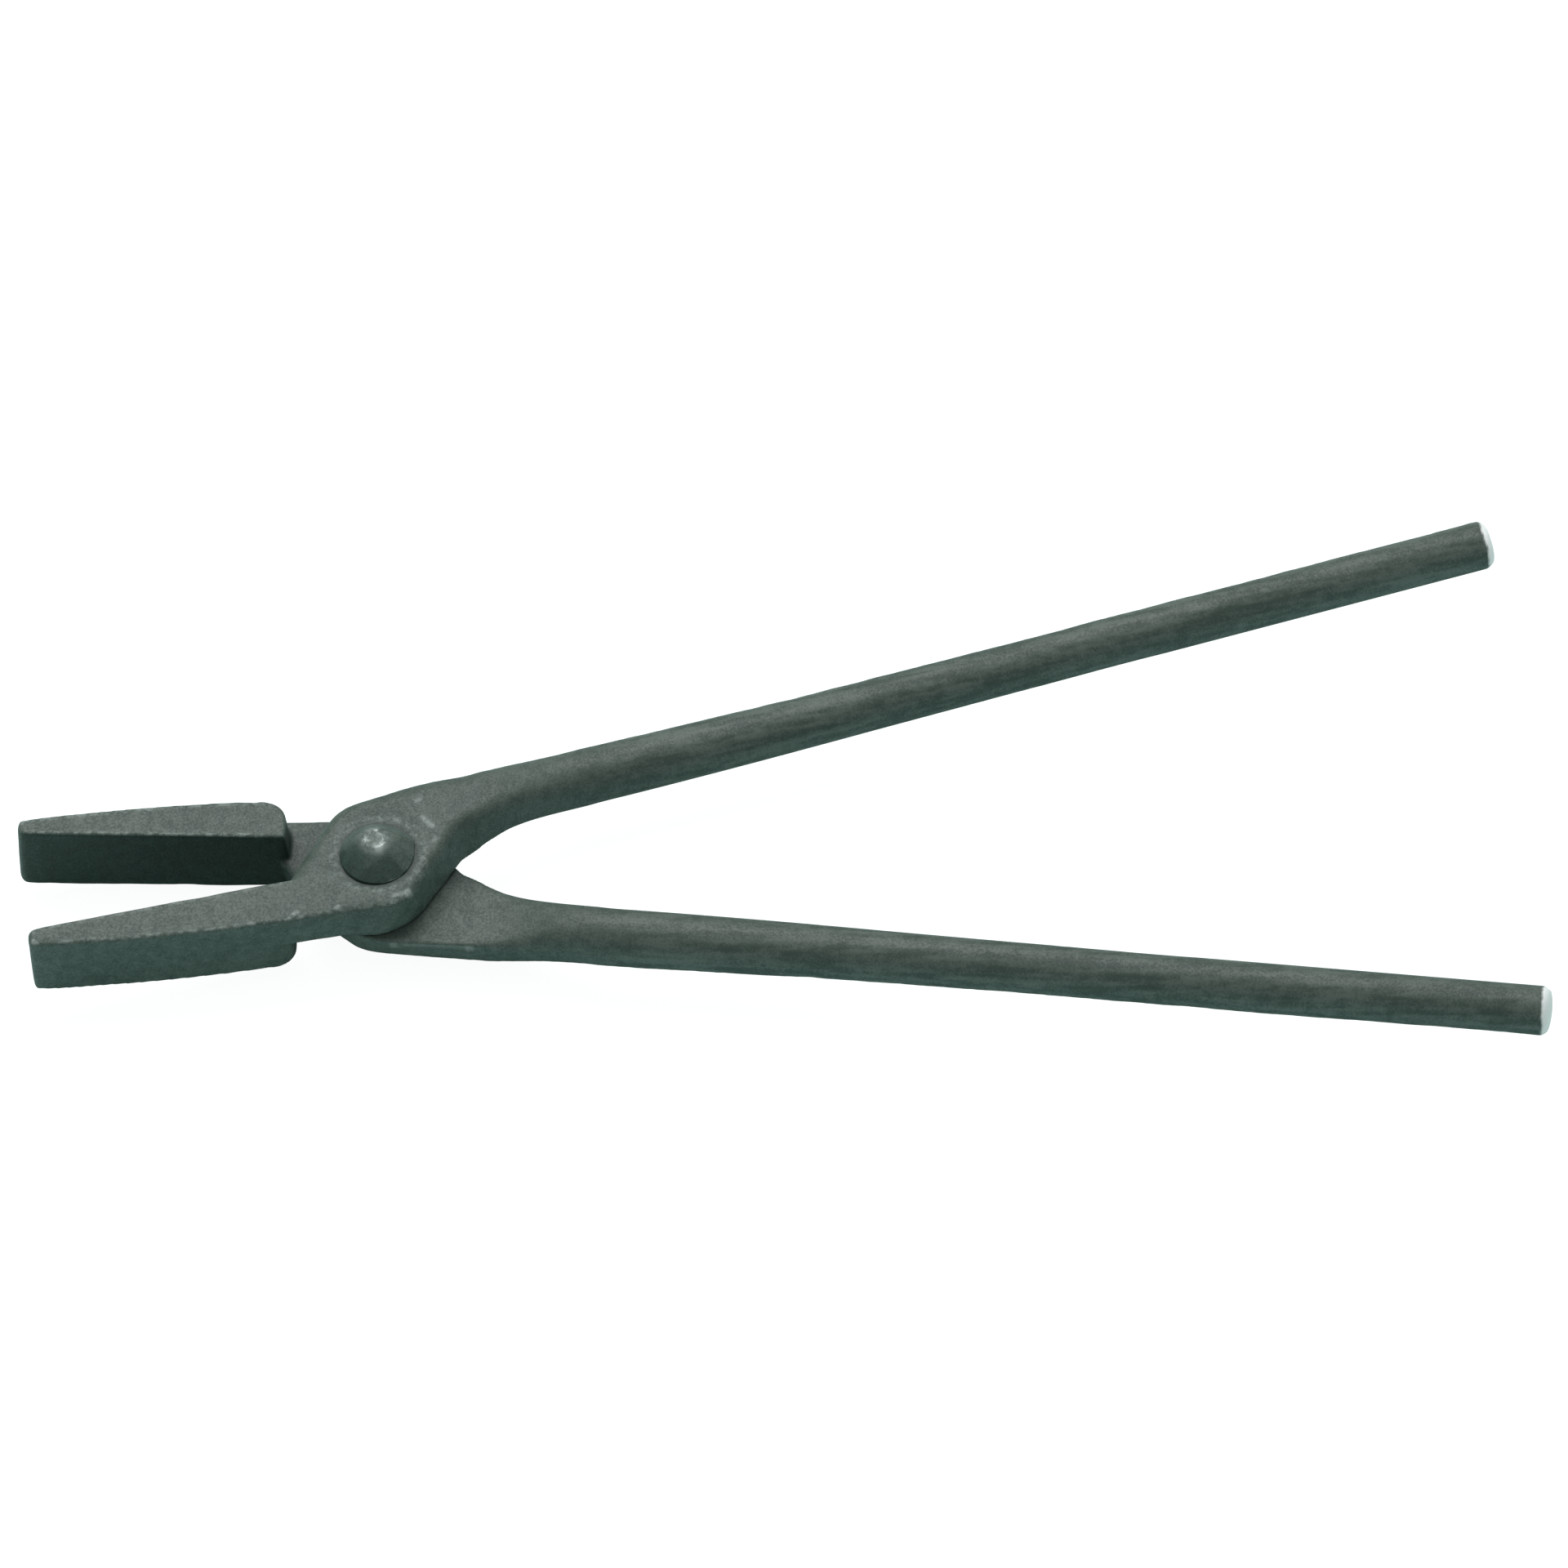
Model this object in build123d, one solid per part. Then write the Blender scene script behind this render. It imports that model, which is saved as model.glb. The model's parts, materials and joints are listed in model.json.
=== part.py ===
from build123d import *
import os
from math import radians, sqrt, tan

# Forged flat-jaw tongs, in millimetres. Both halves are one forging, used twice: the lower half is the upper one
# turned over about the long axis. A half is drawn in its own frame: the rivet axis is Z, the joint face is at
# z = 0 with the boss above it, the jaw points to -X, the rein to +X, and the gripping face looks to +Y.

# Driving dimensions of a half.
BOSS_THICKNESS = 11.8
JAW_DEPTH = 9.9  # how far the jaw block reaches past the joint face
JAW_REACH = 93.7  # rivet axis to jaw tip
JAW_STEP = 23.7  # rivet axis to the rear wall of the jaw block
JAW_TIP_WIDTH = 5.4
JAW_ROOT_WIDTH = 13.7
JAW_ROOT = 13.0  # rivet axis to the end of the jaw's bulged side
JAW_BULGE = 1.6  # rise of the jaw's outer side above its chord
GRIP_OFFSET = 4.7  # rivet axis to the plane of the gripping face
DRAFT = 4.0  # degrees, the forging draft of the jaw
REIN_REACH = 306.9  # rivet axis to the rein's end, along X
REIN_OFFSET = 12.84  # where the rein's straight axis passes the rivet axis
REIN_SLOPE = 0.0845  # rise of the rein's straight axis per millimetre of X
REIN_BOW = 1.05  # how far the rein's root stands out from that straight axis
ROOT_RADIUS = 7.55
ROOT_SHOULDER = 0.1  # how far the neck's last section stands proud of the round rein
END_RADIUS = 6.4

# Where the forging changes from one shape to the next, along X.
BOSS_END = 28.0
NECK_END = 60.0
BOW_END = 125.0
TAPER_END = 215.0

# The boss in plan, as (x, y, corner radius), from the jaw's root round the crotch to the rein and back over the
# rivet to the gripping face. The joint face is larger than the outer face, because the sides have draft.
PLATE_END = BOSS_END + 6
OUTER_CORNERS = [(1.8, -19.1, 0), (6.0, -17.0, 0), (23.6, 4.3, 8), (PLATE_END, 6.4, 0), (PLATE_END, 20.9, 0),
                 (-6.8, 17.3, 16), (-24.6, -GRIP_OFFSET, 0)]
JOINT_CORNERS = [(-4.0, -19.7, 0), (10.0, -14.0, 0), (22.3, -1.0, 5), (PLATE_END, 4.7, 0), (PLATE_END, 22.9, 0),
                 (-5.8, 21.5, 24), (-26.6, -GRIP_OFFSET, 0)]
HEEL_RISE = 1.5  # the arc that joins the first two corners of the joint face stands this far out from its chord

# The neck's first section, as y at its four corners.
NECK_JOINT_SIDES = (2.0, 22.7)
NECK_OUTER_SIDES = (5.2, 20.5)

# Edges.
TIP_BEVEL = 1.4  # the worn corner between gripping face and jaw tip
STEP_ROUND = 6.5  # the jaw block's rear corner, outer side
BOSS_ARRIS = 5.6  # outer edge of the boss and neck, away from the crotch
CROTCH_ARRIS = 3.0  # outer edge of the boss along the crotch
JAW_ARRIS = 0.7
JOINT_ARRIS = 0.4
REIN_END_ROUND = 1.5

# The rivet and the fits.
RIVET_RADIUS = 5.0
RIVET_CLEARANCE = 0.05  # radial, in both bosses
JOINT_GAP = 0.1  # between the two joint faces, and under the upper head
HEAD_RADIUS = 9.6
HEAD_HEIGHT = 4.8
HEAD_RIM = 1.5  # height of the head's steep rim
HEAD_LEAN = 0.2  # how far the rim leans in
CROWN_RADIUS = 2.7
FLANK_BULGE = 0.5  # how far the head's flank is rounded out, in each direction

# The pose.
HALF_OPENING = 7.2  # degrees that each half is turned from the position where the gripping faces are parallel


def nearest(shapes, x, y):
    """The vertex or edge whose centre is nearest to a place in plan."""
    return min(shapes, key=lambda s: (s.center().X - x) ** 2 + (s.center().Y - y) ** 2)


def plan(tip, root, corners, rise, z):
    """A closed plan outline at height z: gripping face, jaw tip, bulged outer side, then the boss's corners."""
    bulge = ((tip[0] + root[0]) / 2, (tip[1] + root[1]) / 2 - JAW_BULGE)
    heel, toe = [Vector(x, y) for x, y, _ in corners[:2]]
    outward = (toe - heel).rotate(Axis.Z, -90).normalized()
    turn = ThreePointArc(heel, (heel + toe) / 2 + outward * rise, toe) if rise else Line(heel, toe)
    around = Polyline(toe, *[(x, y) for x, y, _ in corners[2:]], (tip[0], -GRIP_OFFSET), tip)
    pieces = [ThreePointArc(tip, bulge, root), Line(root, heel), turn, around]
    face = make_face(Wire([edge for piece in pieces for edge in piece.edges()]))
    for x, y, radius in corners:
        if radius:
            face = fillet(nearest(face.vertices(), x, y), radius)
    return Pos(0, 0, z) * face


def joint_plan(reach):
    """The half's outline at the joint face."""
    inset = BOSS_THICKNESS * tan(radians(DRAFT))
    tip = (-reach, -GRIP_OFFSET - JAW_TIP_WIDTH + inset)
    return plan(tip, (-JAW_ROOT, -GRIP_OFFSET - JAW_ROOT_WIDTH + inset), JOINT_CORNERS, HEEL_RISE, 0)


def outer_plan():
    """The half's outline at the outer face."""
    tip = (-JAW_REACH, -GRIP_OFFSET - JAW_TIP_WIDTH)
    return plan(tip, (-JAW_ROOT, -GRIP_OFFSET - JAW_ROOT_WIDTH), OUTER_CORNERS, 0, BOSS_THICKNESS)


def outer_edges(plate, places):
    """Edges of the outer face, each picked by the place in plan that its middle is nearest to."""
    edges = plate.edges().group_by(Axis.Z)[-1]
    return [nearest(edges, x, y) for x, y in places]


def plate():
    """Boss and upper part of the jaw: the layer between the joint face and the outer face."""
    body = loft([joint_plan(JAW_REACH), outer_plan()], ruled=True)
    over_rivet = [(16.4, 20.0), (-6.6, 16.5), (-18.3, 4.4)]
    along_crotch = [(14.8, -6.3), (23.8, 3.9), (30.2, 5.6)]
    along_jaw = [(-JAW_REACH / 2, -15.6), (-5.4, -18.7), (3.9, -18), (-JAW_REACH, -7.2)]
    body = fillet(outer_edges(body, over_rivet), BOSS_ARRIS)
    body = fillet(outer_edges(body, along_crotch), CROTCH_ARRIS)
    body = fillet(outer_edges(body, along_jaw), JAW_ARRIS)
    past_boss = Pos(BOSS_END + PLATE_END, 0, 0) * Box(2 * PLATE_END, 4 * PLATE_END, 4 * BOSS_THICKNESS)
    return body - past_boss


def jaw_block():
    """The part of the jaw that reaches past the joint face, so that the two jaws meet over their full depth."""
    spread = JAW_DEPTH * tan(radians(DRAFT))
    length = JAW_REACH + spread - JAW_STEP
    behind_step = Pos(-JAW_STEP - length / 2, -GRIP_OFFSET) * Rectangle(length, JAW_REACH)
    strip = Pos(-JAW_STEP - length / 2, -GRIP_OFFSET) * Rectangle(length, 2 * spread)
    foot = (joint_plan(JAW_REACH + spread) & behind_step) + strip
    foot = fillet(nearest(foot.vertices(), -JAW_STEP, -GRIP_OFFSET - JAW_ROOT_WIDTH), STEP_ROUND)
    block = extrude(foot, amount=JAW_DEPTH, dir=(0, 0, -1), taper=DRAFT)
    past_grip = Pos(-JAW_REACH / 2, -GRIP_OFFSET + JAW_DEPTH, 0) * Box(2 * JAW_REACH, 2 * JAW_DEPTH, 3 * JAW_DEPTH)
    past_tip = Pos(-JAW_REACH - JAW_DEPTH, 0, 0) * Box(2 * JAW_DEPTH, JAW_REACH, 3 * JAW_DEPTH)
    return block - past_grip - past_tip


def tip_corner():
    """What is worn off the corner between the gripping face and the jaw tip."""
    side = TIP_BEVEL * sqrt(2)
    return Pos(-JAW_REACH, -GRIP_OFFSET, 0) * Rot(0, 0, 45) * Box(side, side, 4 * BOSS_THICKNESS)


def rein_centre(x):
    """Y of the rein's centre line: straight, with a slight outward bow at the root."""
    bow = REIN_BOW * (max(0, BOW_END - x) / (BOW_END - NECK_END)) ** 2
    return REIN_OFFSET + REIN_SLOPE * x + bow


def rein_slope(x):
    """Rise of the centre line per millimetre at x."""
    return REIN_SLOPE - 2 * REIN_BOW * max(0, BOW_END - x) / (BOW_END - NECK_END) ** 2


def rein_radius(x):
    """The rein's radius, which falls quickly at the root and slowly further on."""
    left = max(0, TAPER_END - x) / (TAPER_END - NECK_END)
    return END_RADIUS + (ROOT_RADIUS - END_RADIUS) * left**2


def mix(start, end, share):
    return start + (end - start) * share


def neck_section(x):
    """A section of the neck across X: a four-cornered shape with rounded corners, from boss to round rein."""
    share = (x - BOSS_END) / (NECK_END - BOSS_END)
    soon, late = 1 - (1 - share) ** 1.5, share**1.5
    smooth = share * share * (3 - 2 * share)
    reach = ROOT_RADIUS + ROOT_SHOULDER
    full_round = reach - ROOT_SHOULDER / 2
    inner, outer = rein_centre(NECK_END) - reach, rein_centre(NECK_END) + reach
    low, high = mix(0, -reach, smooth), mix(BOSS_THICKNESS, reach, smooth)
    corners = [
        (mix(NECK_JOINT_SIDES[0], inner, soon), low, mix(JOINT_ARRIS, full_round, soon)),
        (mix(NECK_JOINT_SIDES[1], outer, share), low, mix(JOINT_ARRIS, full_round, soon)),
        (mix(NECK_OUTER_SIDES[1], outer, late), high, mix(BOSS_ARRIS, full_round, share)),
        (mix(NECK_OUTER_SIDES[0], inner, soon), high, mix(CROTCH_ARRIS, full_round, share**2)),
    ]
    face = make_face(Polyline(*[(y, z) for y, z, _ in corners], close=True))
    for y, z, radius in corners:
        face = fillet(nearest(face.vertices(), y, z), radius)
    return Plane(origin=(x, 0, 0), x_dir=(0, 1, 0), z_dir=(1, 0, 0)) * face


def neck():
    """The stretch where the boss turns into the round rein and comes back to the middle of the tongs."""
    spans = 4
    return loft([neck_section(mix(BOSS_END, NECK_END, i / spans)) for i in range(spans + 1)])


def rein_plane(x):
    """A plane square to the rein's centre line at x, or square to X where the rein leaves the neck."""
    slope = rein_slope(x) if x > NECK_END else 0
    return Plane(origin=(x, rein_centre(x), 0), z_dir=(1, slope, 0))


def rein():
    """The round rein: a tapered stretch, then a straight round bar with a rounded end."""
    stations = [NECK_END, 75, 92, 108, BOW_END, 155, 185, TAPER_END]
    tapered = loft([rein_plane(x) * Circle(rein_radius(x)) for x in stations])
    end = rein_plane(REIN_REACH)
    length = (end.origin - rein_plane(TAPER_END).origin).length
    bar = extrude(end * Circle(END_RADIUS), amount=-length)
    rim = max(bar.edges().filter_by(GeomType.CIRCLE), key=lambda e: e.center().X)
    return tapered + fillet(rim, REIN_END_ROUND)


def half():
    """One forging, with its rivet hole, in its own frame."""
    hole = Cylinder(RIVET_RADIUS + RIVET_CLEARANCE, 4 * BOSS_THICKNESS)
    return plate() + jaw_block() + neck() + rein() - hole - tip_corner()


def head_side(seat, way):
    """Half outline of a hammered head, from its seat to its crown: a steep rim, then a rounded cone."""
    rim_top = (HEAD_RADIUS - HEAD_LEAN, seat + way * HEAD_RIM)
    crown_edge = (CROWN_RADIUS, seat + way * HEAD_HEIGHT)
    flank = ((rim_top[0] + crown_edge[0]) / 2 + FLANK_BULGE,
             (rim_top[1] + crown_edge[1]) / 2 + way * FLANK_BULGE)
    edges = Polyline((RIVET_RADIUS, seat), (HEAD_RADIUS, seat), rim_top).edges()
    return [*edges, *ThreePointArc(rim_top, flank, crown_edge).edges(),
            *Line(crown_edge, (0, crown_edge[1])).edges()]


def rivet():
    """Shank and two heads in one piece. The lower head is tight on its boss, the upper one has the joint gap."""
    lower_seat = -BOSS_THICKNESS - JOINT_GAP / 2
    upper_seat = -lower_seat + JOINT_GAP
    shank = Line((RIVET_RADIUS, lower_seat), (RIVET_RADIUS, upper_seat)).edges()
    axis = Line((0, lower_seat - HEAD_HEIGHT), (0, upper_seat + HEAD_HEIGHT)).edges()
    outline = Wire([*head_side(lower_seat, -1), *shank, *head_side(upper_seat, 1), *axis])
    return revolve(Plane.XZ * make_face(outline), Axis.Z)


def assembly():
    """The three pieces at rest, about the rivet axis with the joint plane at z = 0."""
    forging = Pos(0, 0, JOINT_GAP / 2) * half()
    return {
        "upper_half": Rot(0, 0, HALF_OPENING) * forging,
        "lower_half": Rot(0, 0, -HALF_OPENING) * Rot(180, 0, 0) * forging,
        "pivot_rivet": rivet(),
    }


def main():
    pieces = assembly()
    boxes = [piece.bounding_box() for piece in pieces.values()]
    low = [min(tuple(box.min)[i] for box in boxes) for i in range(3)]
    high = [max(tuple(box.max)[i] for box in boxes) for i in range(3)]
    pivot = (-(low[0] + high[0]) / 2, -(low[1] + high[1]) / 2, -low[2])
    os.makedirs("parts", exist_ok=True)
    for name, piece in pieces.items():
        export_step(Pos(*pivot) * piece, f"parts/{name}.step")
    print("rivet axis at", [round(c, 4) for c in pivot], "size", [round(h - l, 2) for l, h in zip(low, high)])


main()
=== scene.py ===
import bmesh
import bpy
import json
import numpy as np
from math import cos, pi, radians, sin
from mathutils import Matrix, Vector, noise


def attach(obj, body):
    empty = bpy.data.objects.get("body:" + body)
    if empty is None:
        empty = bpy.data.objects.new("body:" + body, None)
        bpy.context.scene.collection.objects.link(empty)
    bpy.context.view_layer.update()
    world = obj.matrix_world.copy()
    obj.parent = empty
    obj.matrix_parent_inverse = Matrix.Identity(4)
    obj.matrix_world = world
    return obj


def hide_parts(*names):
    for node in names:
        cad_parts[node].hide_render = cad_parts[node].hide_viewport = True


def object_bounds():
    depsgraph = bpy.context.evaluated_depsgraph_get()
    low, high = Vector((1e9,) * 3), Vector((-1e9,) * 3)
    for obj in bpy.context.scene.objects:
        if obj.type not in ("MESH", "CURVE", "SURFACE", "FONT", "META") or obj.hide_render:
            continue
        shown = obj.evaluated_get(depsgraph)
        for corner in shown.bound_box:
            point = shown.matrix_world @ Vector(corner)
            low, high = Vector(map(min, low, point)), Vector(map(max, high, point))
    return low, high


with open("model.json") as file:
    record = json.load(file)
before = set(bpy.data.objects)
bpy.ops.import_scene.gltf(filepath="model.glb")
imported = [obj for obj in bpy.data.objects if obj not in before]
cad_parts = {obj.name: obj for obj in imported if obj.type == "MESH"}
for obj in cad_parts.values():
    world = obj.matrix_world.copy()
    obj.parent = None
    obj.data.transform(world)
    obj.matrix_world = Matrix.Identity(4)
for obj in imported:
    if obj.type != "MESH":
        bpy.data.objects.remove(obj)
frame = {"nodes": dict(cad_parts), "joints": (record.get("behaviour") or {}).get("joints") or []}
CAD_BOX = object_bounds()

# Lengths of the tongs are in millimetres, in the frame of one half: the rivet axis is Z, the joint face is
# at z = 0 with the boss above it, the jaw points to -X and the gripping face looks to +Y. MM turns them to
# metres.
MM = 0.001
PIVOT = np.array(frame["joints"][0]["pos_m"])
HALF_OPENING = radians(7.2)  # each half's turn from where the gripping faces are parallel
BOSS_THICKNESS = 11.8
JAW_DEPTH = 9.9
JAW_STEP = 23.7
JAW_REACH = 93.7
GRIP_OFFSET = 4.7
JOINT_GAP = 0.1
REIN_REACH = 306.9
REIN_OFFSET = 12.84
REIN_SLOPE = 0.0845
REIN_RADIUS = 6.4

# Most pairs of limits below say where a change starts and where it is full. SIZES, DEPTHS and LEANS are
# ranges to draw from, and each AT is the middle and the width of a stretch.
FACING = (0.2, 0.9)  # how squarely a surface faces some way

# The mesh of a half, and how much of the smoothing each place gets.
VOXEL = 0.46
SMOOTHING_ROUNDS = 90
ROUNDING, TIP_ROUNDING, BOSS_ROUNDING, NECK_ROUNDING = 0.06, 0.1, 0.35, 0.3
JAW_TIP = (-JAW_REACH + 5, -JAW_REACH)
BOSS_FRONT = (-26, -16)
BOSS_FACE = (1.0, 5.0)  # along Z
NECK_START, NECK_END = (24, 34), (80, 55)
END_DOME = 0.9  # how far the cut ends of the reins are domed
DOME_FADE = (0.6, 0.1)
SEAT_RADIUS = 10.6  # the dish that hammering sets into the outer face of the boss
SEAT_WALL = 4.0
SEAT_DEPTH = 0.6

# Where the lower half is fuller than the upper one.
LONG_TIP, BENT_TIP = 1.0, 0.8  # how far its jaw tip runs out, and how much more at its outer face
BENT_JAW = (-JAW_REACH + 25, -JAW_REACH)
FULL_NECK, FULL_NECK_AT = 0.5, (42, 14)  # towards the crotch
THICK_REIN, THICK_REIN_AT = 0.4, (95, 35)
WIDE_JAW, DEEP_JAW = 0.4, 0.6  # on its outer side and outer face
JAW_BLOCK = (-28, -42)
JAW_FACE = (4, 8)  # along Z

# Where the upper half is slimmer than the lower one.
TRIMMED_BOSS, TRIMMED_AT = 0.8, ((2, 7), (30, 12))  # on the outer side of the boss
TRIMMED_SIDE, TRIMMED_RISE = (8, 16), (0, 6)  # along Y and along Z
TIP_ROUND = 2.2  # its lowest corner

# The forged surface. The two halves pass close by each other when the tongs are wide open: there, between the
# jaw's rear wall and the side of the other boss, nothing stands proud.
SCALE_SWELL = 0.13  # the scale stands this far proud of the steel
WAVE_SIZE, WAVE_HEIGHT = 30.0, 0.22  # the slow unevenness that the hammer leaves
LUMP_SIZE, LUMP_HEIGHT = 7.0, 0.08
SCALE_SIZE, SCALE_HEIGHT = 1.5, 0.035  # the grain of the forging scale
JAW_CALM, CALM_JAW = 0.5, (-20, -26)  # the jaw is this much less uneven
PROUDEST = 1.0  # the most that anything stands out elsewhere
WALL_FRONT, WALL_REAR, WALL_Z = (-JAW_STEP - 4, -JAW_STEP - 2), (-18, -20), (1.5, 0.5)
SIDE_FRONT, SIDE_REAR, SIDE_Y, SIDE_Z = (-12, -6), (34, 28), (13, 17), (6, 3)
JOINT_FACE_TOP, JOINT_FACE_LEAN, JOINT_FACE_FRONT = 0.6, -0.3, -30
HOLE_REACH = 6.5
FREE_ROUNDS = 3
DENTS = 70
DENT_SIZES = (1.2, 3.6)
DENT_DEPTHS = (0.05, 0.22)
SIDE_DENTS, DENT_FACING = 0.3, (0.2, 0.8)  # the share of dents that surfaces not facing up get
DENT_REIN = (230, 60)
DENT_TURN = 0.4  # a dent reaches surfaces whose normal has at least this cosine with its middle's

# Where a half's looks change.
HOLLOW_ROUNDS, NORMAL_ROUNDS = 16, 4
ON_TOP = (BOSS_THICKNESS - 5, BOSS_THICKNESS - 3)  # along Z
WORN_EDGE = (0.06, 0.24)  # how far an edge stands over its surroundings
WORN_REIN, WORN_FACING = (250, 120), (0.45, 0.8)
JAW_WEAR, WORN_FRONT = 0.75, (-30, -20)
HALO, HALO_OUT, HALO_WIDTH = 0.35, 2.4, 1.3  # a lighter ring round the rivet head
HOLLOW = (0.03, 0.2)
HEAD_SHADE, HEAD_SHADE_OUT, HEAD_SHADE_WIDTH = 0.9, 0.3, 0.8  # painted shadow: the dark ring at the rivet head's rim
CORNER_SHADE, CORNER_Z, CORNER_Y = 0.4, (1.8, 0.4), (6, 0)  # painted shadow over the joint face, away from the gripping face
CORNER_FRONT, CORNER_REAR = (-JAW_STEP, -10), (34, 24)
ROOT_SHADE, ROOT_FRONT, ROOT_REAR = 0.9, (-JAW_STEP - 4, -JAW_STEP - 1), (-13, -16)  # painted shadow on the jaw's rear wall
ROOT_TOP, ROOT_FOOT, ROOT_Y = (0.5, -0.5), (-JAW_DEPTH + 0.6, -JAW_DEPTH + 2.2), (-16, -12)
BOSS_SHADE, SHADE_FRONT, SHADE_REAR = 0.12, (-34, -26), (34, 26)
BROAD_FACE_LIT_FACING = (0.15, 0.85)
# Where the gripping face gets painted shade.
GRIP_FACING, GRIP_X, GRIP_Y = (0.5, 0.9), (-20, -24), (-GRIP_OFFSET - 2, -GRIP_OFFSET)
BARE_END, RAGGED_SIZE, RAGGED = (1.5, 0.8), 3.0, 0.5
STREAK_LENGTH, STREAK_WIDTH = 16.0, 1.6  # the marks that rolling leaves along the reins
STREAKED_REIN = (50, 80)
NICK_FADE = (1.7, 0.2)  # in radii of the nick
NICK_REACH = 3.5  # along Z

# Places where knocks have bared the steel, as (start, end, radius, strength) in plan: on the outer face of
# the upper half, and along the rim of the lower half's joint face.
UPPER_NICKS = [((44.4, 8.0), (45.3, 8.6), 0.7, 0.8), ((32.0, 4.8), (32.6, 5.1), 0.5, 0.6),
               ((1.6, -16.4), (5.6, -15.8), 0.6, 0.5), ((5.2, -16.0), (5.8, -15.6), 0.8, 1.0),
               ((-13.6, -16.7), (-12.9, -16.4), 0.6, 0.5), ((-24.9, -16.0), (-23.8, -15.8), 0.6, 0.5),
               ((14.0, 6.8), (15.8, 3.6), 0.75, 0.5), ((15.5, -1.4), (16.2, -0.4), 0.8, 0.28),
               ((13.6, 12.5), (14.5, 13.1), 0.7, 0.35)]
LOWER_NICKS = [((5.0, 21.4), (5.6, 21.5), 0.8, 0.6), ((8.0, 21.9), (24.5, 22.6), 0.5, 0.45),
               ((24.6, 22.6), (25.7, 22.7), 0.7, 0.9)]

# The rivet.
RIVET_SEED = 11
SHANK_RADIUS = 4.7
HEAD_RADIUS = 9.7
HEAD_HEIGHT = 5.35
SEAT_GAP = 0.7  # how much of the joint's gap lies under each head
RIM_HEIGHT = 0.6
CROWN_RADIUS = 3.5
CROWN_DIP, DIP_MARGIN = 0.35, 0.7  # the crown's middle is set in, up to its rounded edge
CROWN_EDGE = 0.4  # half the width of that edge
EDGE_DROP = 0.5
FLANK_BULGE = 0.2
HEAD_SEGMENTS = 240
LOBE_WIDTH, LOBE_OUT, LOBE_UP = 0.18, 0.08, 0.45  # the fold pushed out at the rim
LOBE_REACH, LOBE_RISE = (0.7 * HEAD_RADIUS, HEAD_RADIUS), (0.2, 0.9)
UPPER_LOBE, LOWER_LOBE = radians(18), radians(205)
UNEVEN, UNEVEN_TURNS = 0.02, 1.4
FACETS = 9
FACET_LEANS = (22, 55)  # in degrees
FACET_DEPTHS = (0.15, 0.3)
FACET_TOUCH = 0.998  # each flat is set in from the place that this share of the points lies below
UPPER_RIM_SHIFT, UPPER_CROWN_SHIFT = (0.3, -1.9), (0.2, -0.4)  # hammered heads sit a little off their shank
LOWER_RIM_SHIFT, LOWER_CROWN_SHIFT = (-0.5, 0.6), (0.2, 0.3)

HEAD_ROUNDS = 12
RING_RADIUS, RING_WIDTH, RING_WEAR = 0.75 * CROWN_RADIUS, 0.45 * CROWN_RADIUS, 0.9
CROWN_WEAR, CROWN_WEAR_WIDTH = 0.1, 5
PROUD_HEIGHT = BOSS_THICKNESS + 1.5
# A painted highlight on the upper head's crown, painted with the colour of the nicks.
HIGHLIGHT_SPOT, HIGHLIGHT_SPOT_WIDTH = (0.7, -3.4), 1.4
HEAD_HOLLOW, HEAD_BROAD_FACE_LIT = (0.02, 0.15), (0.5, 0.95)
SHADE_WAY, SHADE_SPAN, SHADE_FLANK = (-0.5, -0.87), (0.0, 0.4), (0.96, 0.86)  # painted shade on the flank that faces away from the key light

# The camera, from the object's box.
ELEVATION = radians(53.0)
TURN = radians(1.19)
ROLL = radians(4.07)
VIEW_WIDTH = 0.4109
CAMERA_DISTANCE = 4.33
AIM_RIGHT = 0.0025
AIM_UP = 0.0147

# The studio.
FLOOR_COLOUR = (0.53, 0.68, 0.65, 1)
FLOOR_ROUGHNESS, FLOOR_GLOSS = 0.9, 0.1
FLOOR_GLOW, FLOOR_GLOW_SHARE = 1.5, 0.62
FLOOR_REACH = 40.0  # in metres, as the lamp's distance and size
KEY_DIRECTION, KEY_DISTANCE, KEY_SIZE, KEY_POWER = (-0.1, 0.52, 0.85), 1.9, 1.6, 35
ROOM_COLOUR = (0.90, 1.0, 0.98, 1)
ROOM_LIGHT = 0.45
ROOM_SEEN = 1.0


def step(low, high, value):
    """0 below low, 1 above high, and a smooth rise between them."""
    share = np.clip((value - low) / (high - low), 0, 1)
    return share * share * (3 - 2 * share)


def mix(start, end, share):
    return start + (end - start) * share


def fractal(points, size, octaves, seed):
    """Smooth noise of about -1 to 1 at each point, with features of the given size."""
    shift = Vector((seed * 37.1, seed * 11.7, seed * 5.3))
    return np.array([noise.fractal(Vector(p) / size + shift, 0.9, 2.1, octaves) for p in points.tolist()])


def half_axes(body):
    """The axes of a half's own frame, as the columns of a matrix in the row frame."""
    if body == "upper":
        turn = Matrix.Rotation(HALF_OPENING, 3, "Z")
    else:
        turn = Matrix.Rotation(-HALF_OPENING, 3, "Z") @ Matrix.Rotation(pi, 3, "X")
    return np.array(turn)


def coordinates(mesh):
    points = np.zeros(len(mesh.vertices) * 3, np.float32)
    mesh.vertices.foreach_get("co", points)
    return points.reshape(-1, 3).astype(float)


def normals(mesh):
    directions = np.zeros(len(mesh.vertices) * 3, np.float32)
    mesh.vertices.foreach_get("normal", directions)
    return directions.reshape(-1, 3).astype(float)


def set_coordinates(mesh, points):
    mesh.vertices.foreach_set("co", points.astype(np.float32).ravel())
    mesh.update()


def edges_of(mesh):
    pairs = np.zeros(len(mesh.edges) * 2, np.int32)
    mesh.edges.foreach_get("vertices", pairs)
    return pairs.reshape(-1, 2)


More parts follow.
